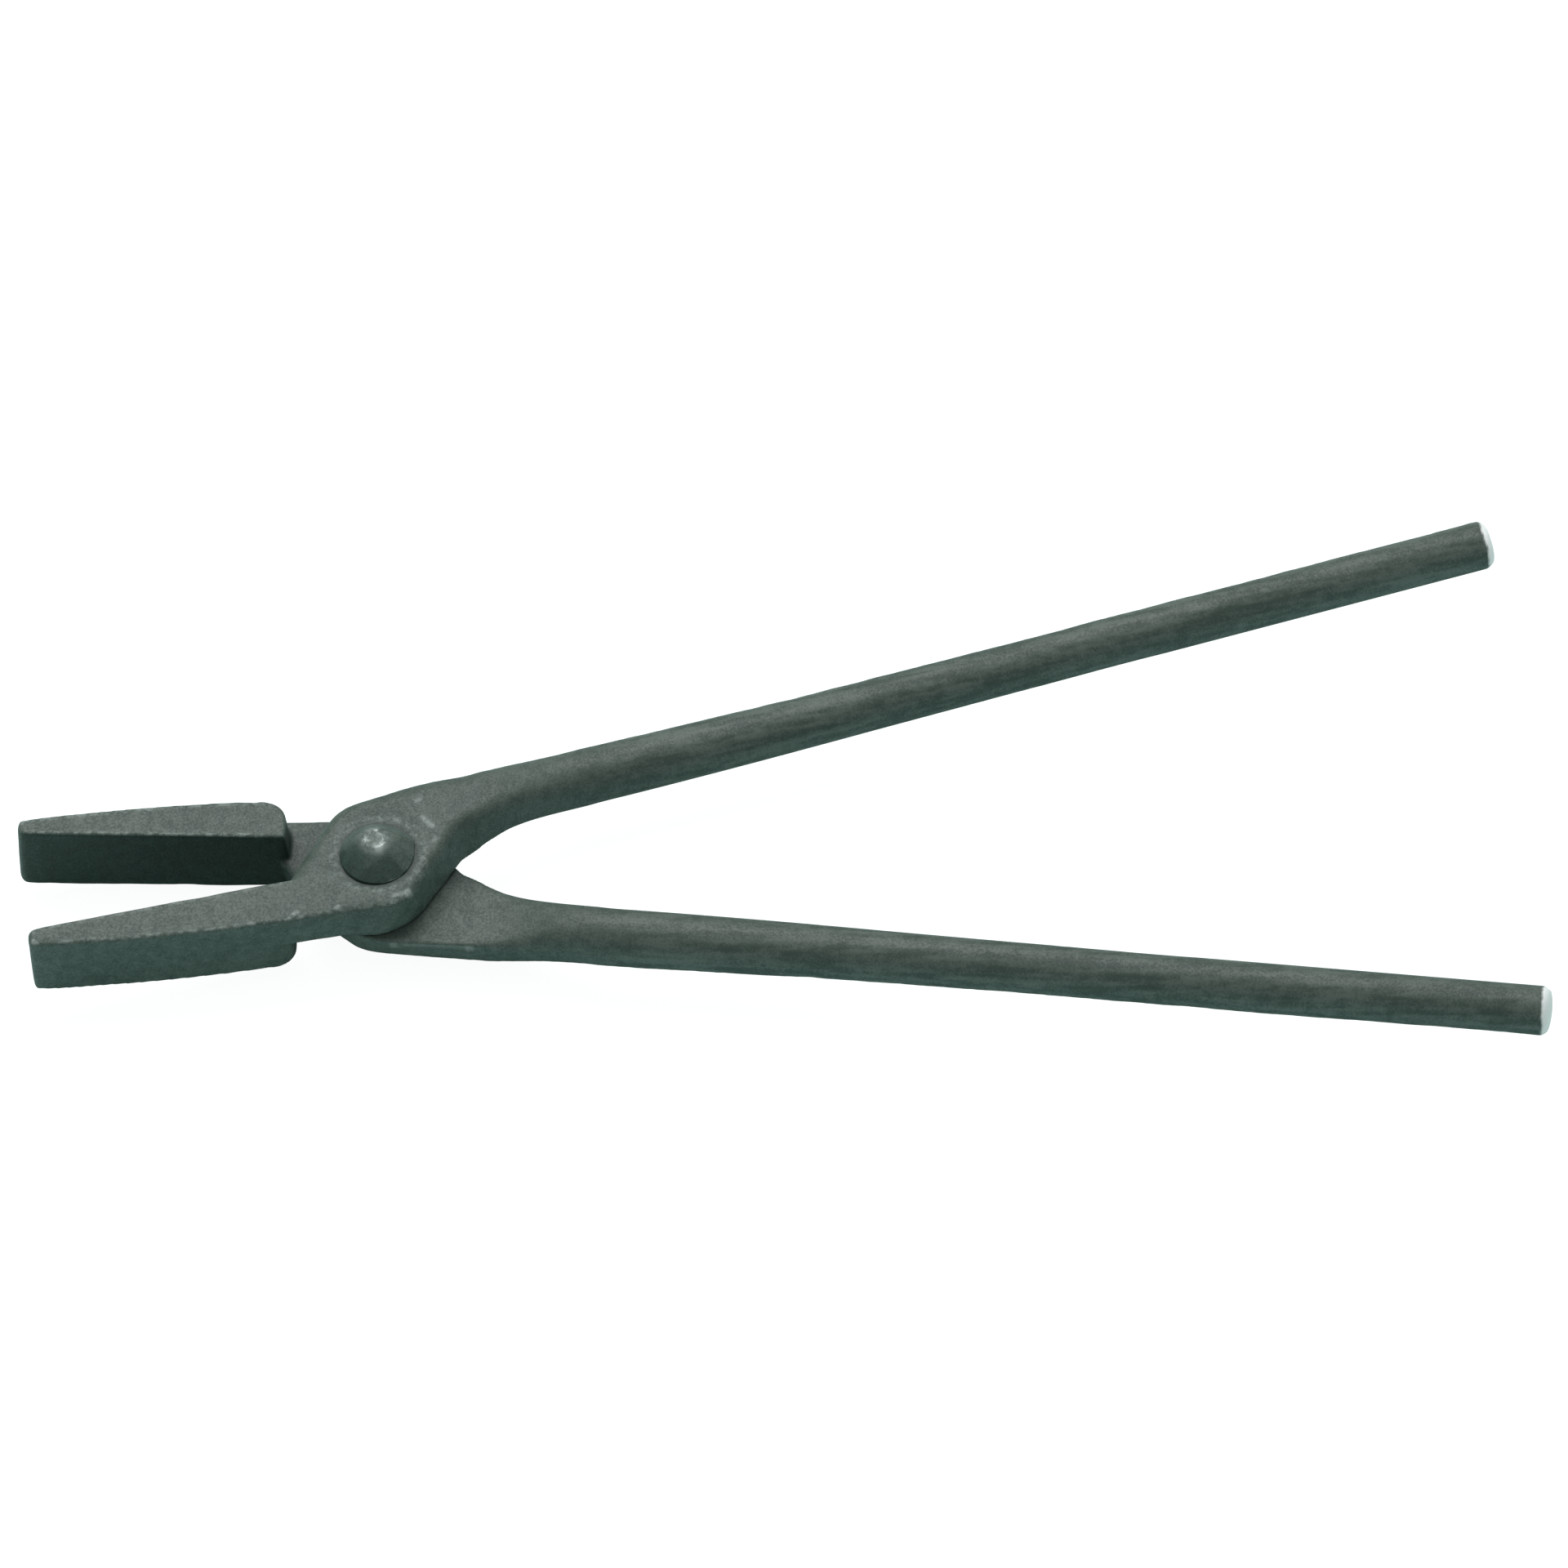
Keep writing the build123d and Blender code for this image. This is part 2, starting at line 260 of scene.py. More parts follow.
def relaxed(points, edges, weight, rounds):
    """Points moved towards the middle of their neighbours, by a share that each point's weight sets."""
    ones, others = np.concatenate([edges, edges[:, ::-1]]).T
    count = np.bincount(ones, minlength=len(points))
    share = (0.5 * weight / count)[:, None]
    for _ in range(rounds):
        total = np.stack([np.bincount(ones, points[others, i], len(points)) for i in range(3)], 1)
        points = points + share * (total - count[:, None] * points)
    return points


def store(mesh, name, values):
    attribute = mesh.attributes.new(name, "FLOAT", "POINT")
    attribute.data.foreach_set("value", values.astype(np.float32))


def piece_from(mesh, name, body, node, material):
    """A new piece that stands for a CAD node and moves with its body."""
    piece = bpy.data.objects.new(name, mesh)
    bpy.context.scene.collection.objects.link(piece)
    mesh.shade_smooth()
    mesh.materials.clear()
    mesh.materials.append(material)
    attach(piece, body)
    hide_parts(node)
    return piece


# The two forgings.


def voxel_mesh(node, axes):
    """The CAD node's shape in the half's own frame, as an even mesh, fine enough to carry a forged surface."""
    shape = frame["nodes"][node].data.copy()
    set_coordinates(shape, (coordinates(shape) - PIVOT) @ axes)
    source = bpy.data.objects.new("remesh_source", shape)
    bpy.context.scene.collection.objects.link(source)
    remesh = source.modifiers.new("remesh", "REMESH")
    remesh.mode = "VOXEL"
    remesh.voxel_size = VOXEL * MM
    graph = bpy.context.evaluated_depsgraph_get()
    mesh = bpy.data.meshes.new_from_object(source.evaluated_get(graph))
    bpy.data.objects.remove(source)
    return mesh


def rein_end_distance(points):
    """How far a point lies short of the rein's cut end, along the rein."""
    along = np.array([1, REIN_SLOPE, 0]) / (1 + REIN_SLOPE**2) ** 0.5
    end = np.array([REIN_REACH, REIN_OFFSET + REIN_SLOPE * REIN_REACH, 0])
    return (end - points) @ along


def rein_ends_domed(points):
    """The cut end of the rein, raised into a low dome."""
    short = rein_end_distance(points)
    middle = REIN_OFFSET + REIN_SLOPE * points[:, 0]
    share = np.hypot(points[:, 1] - middle, points[:, 2]) / REIN_RADIUS
    points[:, 0] += END_DOME * np.clip(1 - share**2, 0, 1) * step(*DOME_FADE, short)
    return points


def smoothing_weight(points):
    """How much each place is rounded: little on the reins and jaws, more on the boss and at the tip."""
    x, _, z = points.T
    boss = step(*BOSS_FRONT, x) * step(*NECK_END, x)
    more = TIP_ROUNDING * step(*JAW_TIP, x) + BOSS_ROUNDING * boss * step(*BOSS_FACE, z)
    more += NECK_ROUNDING * boss * step(*NECK_START, x)
    return np.clip(ROUNDING + more, 0, 1)


def bump(value, middle, width):
    return np.exp(-(((value - middle) / width) ** 2))


def facing(directions, axis, way):
    """1 where a surface faces along an axis, the given way (1 or -1), falling to 0 where it doesn't."""
    return step(*FACING, way * directions[:, axis])


def fuller(points, directions):
    """The lower half, with its longer tip, wider and deeper jaw, and fuller neck and rein."""
    x, _, z = points.T.copy()
    outer_side = facing(directions, 1, -1)
    jaw = step(*JAW_BLOCK, x)
    out = LONG_TIP + BENT_TIP * (z + JAW_DEPTH) / (BOSS_THICKNESS + JAW_DEPTH)
    points[:, 0] -= step(*BENT_JAW, x) * out
    points[:, 1] += THICK_REIN * facing(directions, 1, 1) * bump(x, *THICK_REIN_AT)
    points[:, 1] -= FULL_NECK * outer_side * bump(x, *FULL_NECK_AT)
    points[:, 1] -= WIDE_JAW * outer_side * jaw
    points[:, 2] += DEEP_JAW * facing(directions, 2, 1) * jaw * step(*JAW_FACE, z)
    return points


def slimmer(points):
    """The upper half, with its boss trimmed and the lowest corner of its jaw tip rounded."""
    x, y, z = points.T.copy()
    outline = sum(bump(x, middle, width) for middle, width in TRIMMED_AT)
    points[:, 1] -= TRIMMED_BOSS * outline * step(*TRIMMED_SIDE, y) * step(*TRIMMED_RISE, z)
    past = np.stack([-x - JAW_REACH, -z - JAW_DEPTH], 1) + TIP_ROUND
    over = np.clip(past, 0, None)
    reach = np.hypot(*over.T)
    share = np.where(over.min(1) > 0, np.minimum(1, TIP_ROUND / np.maximum(reach, TIP_ROUND)), 1)
    points[:, [0, 2]] += over * (1 - share)[:, None]
    return points


def nicks(points, places, height):
    """Up to 1 along each knocked place, falling to 0 past its radius."""
    bared = np.zeros(len(points))
    for start, end, radius, strength in places:
        start, run = np.array(start), np.array(end) - start
        along = np.clip((points[:, :2] - start) @ run / (run @ run), 0, 1)
        away = np.hypot(*(points[:, :2] - start - along[:, None] * run).T)
        near = step(NICK_FADE[0] * radius, NICK_FADE[1] * radius, away)
        near = near * (np.abs(points[:, 2] - height) < NICK_REACH)
        bared = np.maximum(bared, strength * near)
    return bared


def dents(points, directions, spread, generator):
    """Inward moves that shallow, round dents make at places drawn among the free surfaces."""
    move = np.zeros(len(points))
    chance = spread / spread.sum()
    for place in generator.choice(len(points), DENTS, p=chance):
        size = generator.uniform(*DENT_SIZES)
        depth = generator.uniform(*DENT_DEPTHS) * size / DENT_SIZES[1]
        away = ((points - points[place]) ** 2).sum(1)
        move -= depth * np.exp(-away / size**2) * (directions @ directions[place] > DENT_TURN)
    return move


def rivet_seat(points):
    """The dish round the rivet, in the outer face of the boss."""
    reach = np.hypot(points[:, 0], points[:, 1])
    return SEAT_DEPTH * step(SEAT_RADIUS + SEAT_WALL, SEAT_RADIUS, reach) * (points[:, 2] > BOSS_THICKNESS / 2)


def free_surface(points, directions, edges):
    """1 where a half's surface is free, falling to 0 on the joint face and in the rivet hole."""
    x, y, z = points.T
    joint = (z < JOINT_FACE_TOP) & (directions[:, 2] < JOINT_FACE_LEAN) & (x > JOINT_FACE_FRONT)
    hole = np.hypot(x, y) < HOLE_REACH
    free = np.repeat((1.0 - (joint | hole))[:, None], 3, 1)
    return np.clip(relaxed(free, edges, np.ones(len(points)), FREE_ROUNDS)[:, 0] * 2 - 1, 0, 1)


def passing(points):
    """1 where the two halves pass close by each other, falling to 0 away from there."""
    x, y, z = points.T
    rear_wall = step(*WALL_FRONT, x) * step(*WALL_REAR, x) * step(*WALL_Z, z)
    boss_side = step(*SIDE_FRONT, x) * step(*SIDE_REAR, x) * step(*SIDE_Y, y) * step(*SIDE_Z, z)
    return np.maximum(rear_wall, boss_side)


def hammering(points, directions, free, seed):
    """How far each point of a half moves outwards: scale, waves, lumps and grain, less the dents."""
    generator = np.random.default_rng(seed)
    move = SCALE_SWELL + WAVE_HEIGHT * fractal(points, WAVE_SIZE, 2, seed)
    move += LUMP_HEIGHT * fractal(points, LUMP_SIZE, 3, seed + 1)
    move += SCALE_HEIGHT * fractal(points, SCALE_SIZE, 2, seed + 2)
    spread = free * (SIDE_DENTS + step(*DENT_FACING, directions[:, 2])) * step(*DENT_REIN, points[:, 0])
    calm = 1 - JAW_CALM * step(*CALM_JAW, points[:, 0])
    move = move * calm + dents(points, directions, spread, generator)
    return np.minimum(move, PROUDEST * (1 - passing(points))) * free


def worn_places(points, directions, convex, free):
    """Where the scale is worn off along edges that face up or down, and a lighter ring round the rivet head.
    """
    x, _, z = points.T
    edges = step(*WORN_EDGE, convex) * free * step(*WORN_REIN, x)
    edges = edges * step(*WORN_FACING, np.abs(directions[:, 2]))
    halo = bump(rim_distance(points), HEAD_RADIUS + HALO_OUT, HALO_WIDTH) * step(*ON_TOP, z)
    return np.clip(edges * mix(JAW_WEAR, 1, step(*WORN_FRONT, x)) + HALO * halo, 0, 1)


def hollow_and_painted_shade_places(points, convex):
    """Where a half is darker: in hollows, and in painted shade under the rivet's rim, over the joint, at the
    jaw's root and on the boss.
    """
    x, y, z = points.T
    on_top = step(*ON_TOP, z)
    under_head = bump(rim_distance(points), HEAD_RADIUS + HEAD_SHADE_OUT, HEAD_SHADE_WIDTH) * on_top
    corner = step(*CORNER_Z, z) * step(*CORNER_FRONT, x) * step(*CORNER_REAR, x) * step(*CORNER_Y, y)
    root = step(*ROOT_FRONT, x) * step(*ROOT_REAR, x) * step(*ROOT_TOP, z)
    root = root * step(*ROOT_FOOT, z) * step(*ROOT_Y, y)
    boss_top = on_top * step(*SHADE_FRONT, x) * step(*SHADE_REAR, x)
    dark = step(*HOLLOW, -convex) + HEAD_SHADE * under_head + CORNER_SHADE * corner
    return np.clip(dark + ROOT_SHADE * root + BOSS_SHADE * boss_top, 0, 1)


def rim_distance(points):
    """How far a point lies from the middle of the upper head's rim, in plan."""
    return np.hypot(points[:, 0] - UPPER_RIM_SHIFT[0], points[:, 1] - UPPER_RIM_SHIFT[1])


def forging(node, body, seed, material):
    """One half: the CAD shape with worn edges, hammer marks and scale, and what its material needs."""
    axes = half_axes(body)
    mesh = voxel_mesh(node, axes)
    edges = edges_of(mesh)
    points = coordinates(mesh) / MM
    points = relaxed(points, edges, smoothing_weight(points), SMOOTHING_ROUNDS)
    set_coordinates(mesh, points * MM)
    points = fuller(points, normals(mesh)) if body == "lower" else slimmer(points)
    points = rein_ends_domed(points)
    set_coordinates(mesh, points * MM)
    directions = normals(mesh)
    free = free_surface(points, directions, edges)
    points = points + directions * hammering(points, directions, free, seed)[:, None]
    everywhere = np.ones(len(points))
    broad = relaxed(points, edges, everywhere, HOLLOW_ROUNDS)
    convex = ((points - broad) * directions).sum(1)
    points[:, 2] -= rivet_seat(points)
    set_coordinates(mesh, points @ axes.T * MM + PIVOT)

    directions = relaxed(directions, edges, everywhere, NORMAL_ROUNDS)
    x, y, _ = points.T
    places, height = (UPPER_NICKS, BOSS_THICKNESS) if body == "upper" else (LOWER_NICKS, 0)
    store(mesh, "worn", worn_places(points, directions, convex, free))
    store(mesh, "nick_and_highlight", nicks(points, places, height) * free)
    # Darker hollows, and painted shadow round the rivet head, over the joint, at the jaw's root and on the
    # boss.
    store(mesh, "hollows_and_painted_shade", hollow_and_painted_shade_places(points, convex))
    # Painted light and shade: faces that look up or down get the lit scale colour, the sides the shaded one.
    store(mesh, "broad_face_painted_light", step(*BROAD_FACE_LIT_FACING, np.abs(directions[:, 2])))
    # Painted shade: the gripping face gets the darkest colour, for the shade between the jaws.
    store(mesh, "painted_deep_shade", step(*GRIP_FACING, directions[:, 1]) * step(*GRIP_X, x) * step(*GRIP_Y, y))
    ragged = RAGGED * fractal(points, RAGGED_SIZE, 2, seed + 3)
    store(mesh, "bare", step(*BARE_END, rein_end_distance(points) + ragged))
    streaks = fractal(points * (STREAK_WIDTH / STREAK_LENGTH, 1, 1), STREAK_WIDTH, 2, seed + 4)
    store(mesh, "streak", 0.5 + 0.5 * streaks * step(*STREAKED_REIN, x))
    return piece_from(mesh, node + "_forging", body, node, material)


# The rivet.


def head_profile():
    """Radius, and height over the seat, from the crown's middle to the undercut at the seat."""
    edge, flank_top = CROWN_RADIUS + CROWN_EDGE, HEAD_HEIGHT - EDGE_DROP
    dip_radius = CROWN_RADIUS - DIP_MARGIN
    crown = [(r, HEAD_HEIGHT - CROWN_DIP + CROWN_DIP * sin(r / dip_radius * pi / 2) ** 2)
             for r in np.linspace(0, dip_radius, 14)]
    ring = [(CROWN_RADIUS - CROWN_EDGE, HEAD_HEIGHT - 0.06), (CROWN_RADIUS, HEAD_HEIGHT - 0.24),
            (edge, flank_top)]
    flank = [(mix(edge, HEAD_RADIUS - 0.1, s),
              mix(flank_top, RIM_HEIGHT + 0.2, s) + FLANK_BULGE * sin(pi * s))
             for s in np.linspace(0.05, 1, 40)]
    rim = [(HEAD_RADIUS - 0.15 + 0.15 * sin(a), RIM_HEIGHT - 0.1 + 0.3 * cos(a))
           for a in np.linspace(0.5, 2.6, 10)]
    under = [(HEAD_RADIUS - 0.4, 0.15), (HEAD_RADIUS - 0.8, 0.05), (HEAD_RADIUS - 1.1, 0.0),
             (SHANK_RADIUS, 0.0)]
    return np.array(crown + ring + flank + rim + under)


def head_points(seat, way, rim_shift, crown_shift, lobe, seed):
    """Rings of points of one hammered head, with the hammer's flats and one fold pushed out at the rim."""
    generator = np.random.default_rng(seed)
    profile = head_profile()
    angles = np.arange(HEAD_SEGMENTS) * 2 * pi / HEAD_SEGMENTS
    radius = profile[:, 0][:, None] * np.ones(HEAD_SEGMENTS)
    height = profile[:, 1][:, None] * np.ones(HEAD_SEGMENTS)
    near = bump((angles - lobe + pi) % (2 * pi) - pi, 0, LOBE_WIDTH)
    outer = step(*LOBE_REACH, profile[:, 0])[:, None] * step(*LOBE_RISE, profile[:, 1])[:, None]
    places = [Vector((cos(a) * UNEVEN_TURNS, sin(a) * UNEVEN_TURNS, seed)) for a in angles]
    uneven = np.array([noise.fractal(place, 1.0, 2.0, 2) for place in places])
    radius = radius * (1 + (UNEVEN * uneven + LOBE_OUT * near) * outer)
    height = height + LOBE_UP * near * outer
    points = np.stack([radius * np.cos(angles), radius * np.sin(angles), height], 2).reshape(-1, 3)
    for _ in range(FACETS):
        turn, lean = generator.uniform(0, 2 * pi), radians(generator.uniform(*FACET_LEANS))
        facing = np.array([sin(lean) * cos(turn), sin(lean) * sin(turn), cos(lean)])
        reach = points @ facing
        beyond = reach - (np.quantile(reach, FACET_TOUCH) - generator.uniform(*FACET_DEPTHS))
        points = points - facing * (np.clip(beyond, 0, None) * (points[:, 2] > RIM_HEIGHT))[:, None]
    loose = step(SHANK_RADIUS, SHANK_RADIUS + 1, np.hypot(*points[:, :2].T)) + (points[:, 2] > RIM_HEIGHT)
    rise = np.clip((points[:, 2] - RIM_HEIGHT) / (HEAD_HEIGHT - RIM_HEIGHT), 0, 1)
    shift = mix(np.array(rim_shift), np.array(crown_shift), rise[:, None])
    points[:, :2] += shift * np.clip(loose, 0, 1)[:, None]
    points[:, 2] = seat + way * points[:, 2]
    return points


def rivet(material):
    """Shank and both heads as one closed mesh."""
    seat = BOSS_THICKNESS + SEAT_GAP * JOINT_GAP - SEAT_DEPTH
    upper = head_points(seat, 1, UPPER_RIM_SHIFT, UPPER_CROWN_SHIFT, UPPER_LOBE, RIVET_SEED)
    lower = head_points(-seat, -1, LOWER_RIM_SHIFT, LOWER_CROWN_SHIFT, LOWER_LOBE, RIVET_SEED + 1)
    rings = len(upper) // HEAD_SEGMENTS
    points = np.concatenate([upper, lower.reshape(rings, HEAD_SEGMENTS, 3)[::-1].reshape(-1, 3)])
    total = 2 * rings
    faces = []
    for ring in range(total - 1):
        for i in range(HEAD_SEGMENTS):
            j = (i + 1) % HEAD_SEGMENTS
            low, high = ring * HEAD_SEGMENTS, (ring + 1) * HEAD_SEGMENTS
            faces.append((low + i, high + i, high + j, low + j))
    mesh = bpy.data.meshes.new("hammered_rivet")
    mesh.from_pydata((points * MM + PIVOT).tolist(), [], faces)
    weld(mesh)
    points = (coordinates(mesh) - PIVOT) / MM
    broad = relaxed(points, edges_of(mesh), np.ones(len(points)), HEAD_ROUNDS)
    convex = ((points - broad) * normals(mesh)).sum(1)
    directions = normals(mesh)
    level = np.abs(directions[:, 2])
    reach = np.hypot(*(points[:, :2] - UPPER_CROWN_SHIFT).T)
    proud = (np.abs(points[:, 2]) > PROUD_HEIGHT).astype(float)
    ring = bump(reach, RING_RADIUS, RING_WIDTH)
    worn = RING_WEAR * ring + CROWN_WEAR * bump(reach, 0, CROWN_WEAR_WIDTH)
    # Painted highlight on the crown, stored with the forgings' nicks.
    painted_highlight = bump(np.hypot(*(points[:, :2] - HIGHLIGHT_SPOT).T), 0, HIGHLIGHT_SPOT_WIDTH)
    store(mesh, "worn", np.clip(worn * proud, 0, 1))
    store(mesh, "nick_and_highlight", painted_highlight * proud)
    # Only the hollows darken the head here.
    store(mesh, "hollows_and_painted_shade", step(*HEAD_HOLLOW, -convex))
    # Painted light and shade on the head: level places get the lit colour, steep flanks the shaded one.
    store(mesh, "broad_face_painted_light", step(*HEAD_BROAD_FACE_LIT, level))
    # Painted shade on the head's flank that faces away from the key light.
    shaded = directions[:, :2] @ np.array(SHADE_WAY)
    store(mesh, "painted_deep_shade", step(*SHADE_SPAN, shaded) * step(*SHADE_FLANK, level))
    store(mesh, "bare", np.zeros(len(points)))
    store(mesh, "streak", np.full(len(points), 0.5))
    return piece_from(mesh, "hammered_rivet", "lower", "pivot_rivet", material)


def weld(mesh):
    """Joins the points that meet at the crowns, and turns all faces outwards."""
    shape = bmesh.new()
    shape.from_mesh(mesh)
    bmesh.ops.remove_doubles(shape, verts=shape.verts, dist=0.002 * MM)
    bmesh.ops.recalc_face_normals(shape, faces=shape.faces)
    shape.to_mesh(mesh)
    shape.free()


# Materials.


class Nodes:
    """Short calls that add shader nodes to one material."""

    def __init__(self, name):
        self.material = bpy.data.materials.new(name)
        self.material.use_nodes = True
        self.tree = self.material.node_tree
        self.shader = self.tree.nodes["Principled BSDF"]
        self.place = self.add("ShaderNodeTexCoord").outputs["Object"]

    def add(self, kind, **values):
        made = self.tree.nodes.new(kind)
        for key, value in values.items():
            setattr(made, key, value)
        return made

    def join(self, source, target):
        self.tree.links.new(source, target)

    def noise(self, size, detail=2.0, roughness=0.5):
        """Noise with features of a size in millimetres."""
        made = self.add("ShaderNodeTexNoise")
        made.inputs["Scale"].default_value = 1 / (size * MM)
        made.inputs["Detail"].default_value = detail
        made.inputs["Roughness"].default_value = roughness
        self.join(self.place, made.inputs["Vector"])
        return made.outputs["Fac"]

    def attribute(self, name):
        return self.add("ShaderNodeAttribute", attribute_name=name).outputs["Fac"]

    def math(self, operation, first, second, clamp=False):
        made = self.add("ShaderNodeMath", operation=operation, use_clamp=clamp)
        for socket, value in zip(made.inputs, (first, second)):
            if isinstance(value, (int, float)):
                socket.default_value = value
            else:
                self.join(value, socket)
        return made.outputs[0]

    def span(self, value, low, high, start=0.0, end=1.0):
        """value, taken from low..high to start..end and held there."""
        made = self.add("ShaderNodeMapRange", interpolation_type="SMOOTHSTEP")
        self.join(value, made.inputs["Value"])
        for key, number in zip(("From Min", "From Max", "To Min", "To Max"), (low, high, start, end)):
            made.inputs[key].default_value = number
        return made.outputs["Result"]

    def mix(self, factor, first, second):
        made = self.add("ShaderNodeMix", data_type="RGBA")
        self.join(factor, made.inputs["Factor"])
        for key, value in (("A", first), ("B", second)):
            socket = [s for s in made.inputs if s.name == key and s.type == "RGBA"][0]
            if isinstance(value, tuple):
                socket.default_value = (*value, 1)
            else:
                self.join(value, socket)
        return [s for s in made.outputs if s.type == "RGBA"][0]

    def bump(self, height, distance, strength, under=None):
        made = self.add("ShaderNodeBump")
        made.inputs["Distance"].default_value = distance * MM
        made.inputs["Strength"].default_value = strength
        self.join(height, made.inputs["Height"])
        if under is not None:
            self.join(under, made.inputs["Normal"])
        return made.outputs["Normal"]


# Painted light and shade in the scale's grain: lit on broad faces, shaded on sides, darkest on gripping faces.
BROAD_FACE_LIT_SCALE = ((0.027, 0.046, 0.036), (0.079, 0.101, 0.087))
SIDE_SHADE_SCALE = ((0.036, 0.068, 0.058), (0.104, 0.145, 0.130))
DEEP_SHADE_SCALE = ((0.006, 0.021, 0.016), (0.022, 0.054, 0.043))
# The colour of the darker hollows and of the painted shade.
HOLLOW_AND_SHADE_SCALE = (0.014, 0.028, 0.023)
WORN_STEEL = (0.30, 0.34, 0.325)
NICK_AND_HIGHLIGHT_STEEL = (0.36, 0.40, 0.385)
BARE_STEEL = (0.92, 0.93, 0.93)
# Noises, as size in millimetres, detail and roughness.
GRAIN, MOTTLE, PATCH = (0.6, 3.0, 0.65), (3.2, 4.0, 0.6), (24.0, 3.0, 0.55)
WEAR_BREAKS, NICK_AND_HIGHLIGHT_BREAKS = (2.0, 4.0, 0.7), (0.6, 2.0, 0.6)
GRAIN_SHARE, MOTTLE_SHARE, PATCH_SHARE, STREAK_SHARE = 0.45, 0.35, 0.2, 0.3
TONES = (0.51, 0.81)
WEAR_LIMITS, RIVET_WEAR_LIMITS = (0.42, 0.62), (0.3, 0.6)  # how broken the wear is
WORN_SHARE = 0.75
NICK_AND_HIGHLIGHT_SPAN = (0.1, 0.6, 0.35, 0.8)
WORN_METAL, NICK_AND_HIGHLIGHT_METAL, BARE_METAL = 0.7, 0.3, 0.15
ROUGH_SPAN = (0.3, 0.7, 0.66, 0.5)
METAL_GLOSS, BARE_GLOSS = 0.2, 0.1
COARSE_BUMP, FINE_BUMP = (0.12, 0.4), (0.09, 0.7)  # height in millimetres, and strength


def scaled_steel(name, wear_limits):
    """Black forging scale over steel: mottled grain, dark hollows, broken bright wear, bare cut ends, painted
    light, shade and highlight.
    """
    nodes = Nodes(name)
    grain = nodes.noise(*GRAIN)
    mottle = nodes.noise(*MOTTLE)
    patch = nodes.noise(*PATCH)
    blend = nodes.math("MULTIPLY", mottle, MOTTLE_SHARE)
    blend = nodes.math("ADD", blend, nodes.math("MULTIPLY", patch, PATCH_SHARE))
    blend = nodes.math("ADD", blend, nodes.math("MULTIPLY", nodes.attribute("streak"), STREAK_SHARE))
    tone = nodes.span(nodes.math("ADD", nodes.math("MULTIPLY", grain, GRAIN_SHARE), blend), *TONES)
    broad_face_painted_light, side, painted_deep_shade = [nodes.mix(tone, *limits) for limits in (BROAD_FACE_LIT_SCALE, SIDE_SHADE_SCALE, DEEP_SHADE_SCALE)]
    # Painted light and shade: the lit colour on broad faces, the shaded colour on the sides.
    colour = nodes.mix(nodes.attribute("broad_face_painted_light"), side, broad_face_painted_light)
    # Painted shade on the gripping faces and on the rivet's shaded flank.
    colour = nodes.mix(nodes.attribute("painted_deep_shade"), colour, painted_deep_shade)
    # Darker hollows and painted shade.
    colour = nodes.mix(nodes.attribute("hollows_and_painted_shade"), colour, HOLLOW_AND_SHADE_SCALE)
    broken = nodes.span(nodes.noise(*WEAR_BREAKS), *wear_limits)
    worn = nodes.math("MULTIPLY", nodes.math("MULTIPLY", nodes.attribute("worn"), broken), WORN_SHARE)
    nick_and_highlight = nodes.math("MULTIPLY", nodes.attribute("nick_and_highlight"), nodes.span(nodes.noise(*NICK_AND_HIGHLIGHT_BREAKS), *NICK_AND_HIGHLIGHT_SPAN))
    bare = nodes.attribute("bare")
    colour = nodes.mix(worn, colour, WORN_STEEL)
    # Bared steel at the nicks, and the painted highlight on the rivet's crown.
    colour = nodes.mix(nick_and_highlight, colour, NICK_AND_HIGHLIGHT_STEEL)
    colour = nodes.mix(bare, colour, BARE_STEEL)
    nodes.join(colour, nodes.shader.inputs["Base Color"])
    shine = nodes.math("MULTIPLY", worn, WORN_METAL)
    shine = nodes.math("MAXIMUM", shine, nodes.math("MULTIPLY", nick_and_highlight, NICK_AND_HIGHLIGHT_METAL))
    metal = nodes.math("MAXIMUM", shine, nodes.math("MULTIPLY", bare, BARE_METAL))
    nodes.join(metal, nodes.shader.inputs["Metallic"])
    rough = nodes.math("SUBTRACT", nodes.span(grain, *ROUGH_SPAN), nodes.math("MULTIPLY", shine, METAL_GLOSS))
    rough = nodes.math("SUBTRACT", rough, nodes.math("MULTIPLY", bare, BARE_GLOSS))
    nodes.join(rough, nodes.shader.inputs["Roughness"])
    coarse = nodes.bump(mottle, *COARSE_BUMP)
    nodes.join(nodes.bump(grain, *FINE_BUMP, coarse), nodes.shader.inputs["Normal"])
    return nodes.material


def plain_floor():
    """White paper, lit from below where the camera sees it, so that shadows stay faint."""
    nodes = Nodes("pale_floor")
    nodes.shader.inputs["Base Color"].default_value = FLOOR_COLOUR
    nodes.shader.inputs["Roughness"].default_value = FLOOR_ROUGHNESS
    nodes.shader.inputs["Specular IOR Level"].default_value = FLOOR_GLOSS
    glow = nodes.add("ShaderNodeEmission")
    glow.inputs["Strength"].default_value = FLOOR_GLOW
    seen = nodes.add("ShaderNodeLightPath").outputs["Is Camera Ray"]
    both = nodes.add("ShaderNodeMixShader")
    nodes.join(nodes.math("MULTIPLY", seen, FLOOR_GLOW_SHARE), both.inputs["Fac"])
    nodes.join(nodes.shader.outputs["BSDF"], both.inputs[1])
    nodes.join(glow.outputs["Emission"], both.inputs[2])
    nodes.join(both.outputs["Shader"], nodes.tree.nodes["Material Output"].inputs["Surface"])
    return nodes.material


# The studio.


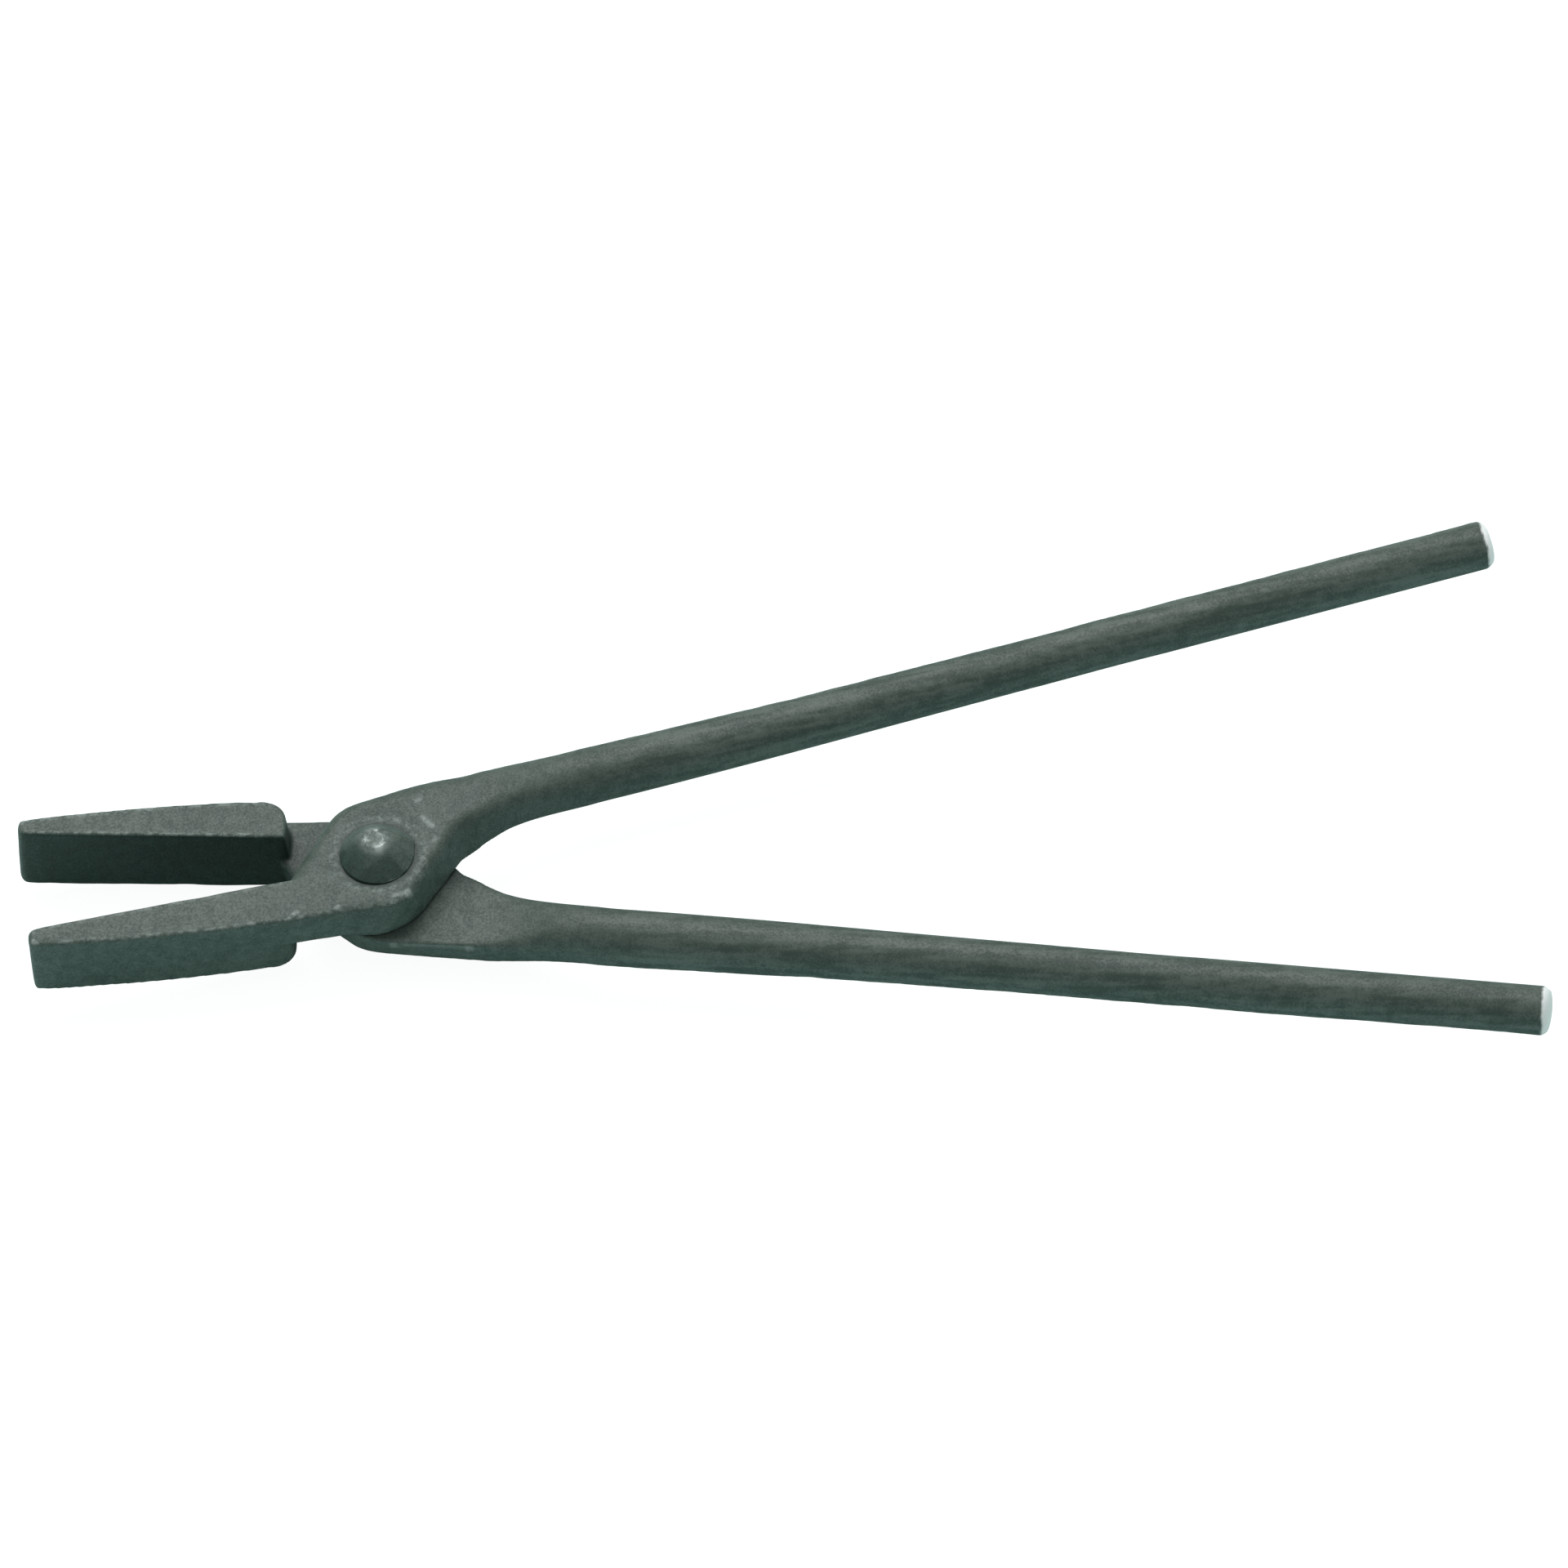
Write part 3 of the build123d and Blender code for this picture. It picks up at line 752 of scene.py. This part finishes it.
def floor():
    mesh = bpy.data.meshes.new("floor")
    ground = CAD_BOX[0].z
    sides = ((-1, -1), (1, -1), (1, 1), (-1, 1))
    corners = [(FLOOR_REACH * across, FLOOR_REACH * ahead, ground) for across, ahead in sides]
    mesh.from_pydata(corners, [], [(0, 1, 2, 3)])
    mesh.materials.append(plain_floor())
    made = bpy.data.objects.new("floor", mesh)
    bpy.context.scene.collection.objects.link(made)


def soft_light(name, direction, distance, size, power):
    """A square area light that looks at the middle of the object."""
    target = (CAD_BOX[0] + CAD_BOX[1]) / 2
    data = bpy.data.lights.new(name, "AREA")
    data.shape = "SQUARE"
    data.size = size
    data.energy = power
    made = bpy.data.objects.new(name, data)
    towards = Vector(direction).normalized()
    made.location = target + towards * distance
    made.rotation_mode = "QUATERNION"
    made.rotation_quaternion = towards.to_track_quat("Z", "Y")
    bpy.context.scene.collection.objects.link(made)


def room(strength):
    """Even light from all round, seen as plain white."""
    world = bpy.data.worlds.new("room")
    world.use_nodes = True
    tree = world.node_tree
    light = tree.nodes["Background"]
    light.inputs["Color"].default_value = ROOM_COLOUR
    light.inputs["Strength"].default_value = strength
    backdrop = tree.nodes.new("ShaderNodeBackground")
    backdrop.inputs["Color"].default_value = (1, 1, 1, 1)
    backdrop.inputs["Strength"].default_value = ROOM_SEEN
    both = tree.nodes.new("ShaderNodeMixShader")
    tree.links.new(tree.nodes.new("ShaderNodeLightPath").outputs["Is Camera Ray"], both.inputs["Fac"])
    tree.links.new(light.outputs["Background"], both.inputs[1])
    tree.links.new(backdrop.outputs["Background"], both.inputs[2])
    tree.links.new(both.outputs["Shader"], tree.nodes["World Output"].inputs["Surface"])
    bpy.context.scene.world = world


def camera():
    """A long lens that looks down on the tongs from the front, rolled a little."""
    across = Vector((cos(TURN), -sin(TURN), 0))
    ahead = Vector((sin(TURN), cos(TURN), 0))
    back = Vector((0, 0, 1)) * sin(ELEVATION) - ahead * cos(ELEVATION)
    rise = ahead * sin(ELEVATION) + Vector((0, 0, 1)) * cos(ELEVATION)
    right = across * cos(ROLL) - rise * sin(ROLL)
    up = across * sin(ROLL) + rise * cos(ROLL)
    target = (CAD_BOX[0] + CAD_BOX[1]) / 2 + right * AIM_RIGHT + up * AIM_UP
    data = bpy.data.cameras.new("camera")
    data.lens = data.sensor_width * CAMERA_DISTANCE / VIEW_WIDTH
    data.clip_end = 10 * CAMERA_DISTANCE
    made = bpy.data.objects.new("camera", data)
    axes = Matrix((right, up, back)).transposed().to_4x4()
    made.matrix_world = Matrix.Translation(target + back * CAMERA_DISTANCE) @ axes
    bpy.context.scene.collection.objects.link(made)
    bpy.context.scene.camera = made


steel = scaled_steel("forging_scale", WEAR_LIMITS)
rivet_steel = scaled_steel("hammered_scale", RIVET_WEAR_LIMITS)
forging("upper_half", "upper", 3, steel)
forging("lower_half", "lower", 8, steel)
rivet(rivet_steel)
floor()
soft_light("key", KEY_DIRECTION, KEY_DISTANCE, KEY_SIZE, KEY_POWER)
room(ROOM_LIGHT)
camera()
bpy.context.scene.view_settings.view_transform = "Standard"
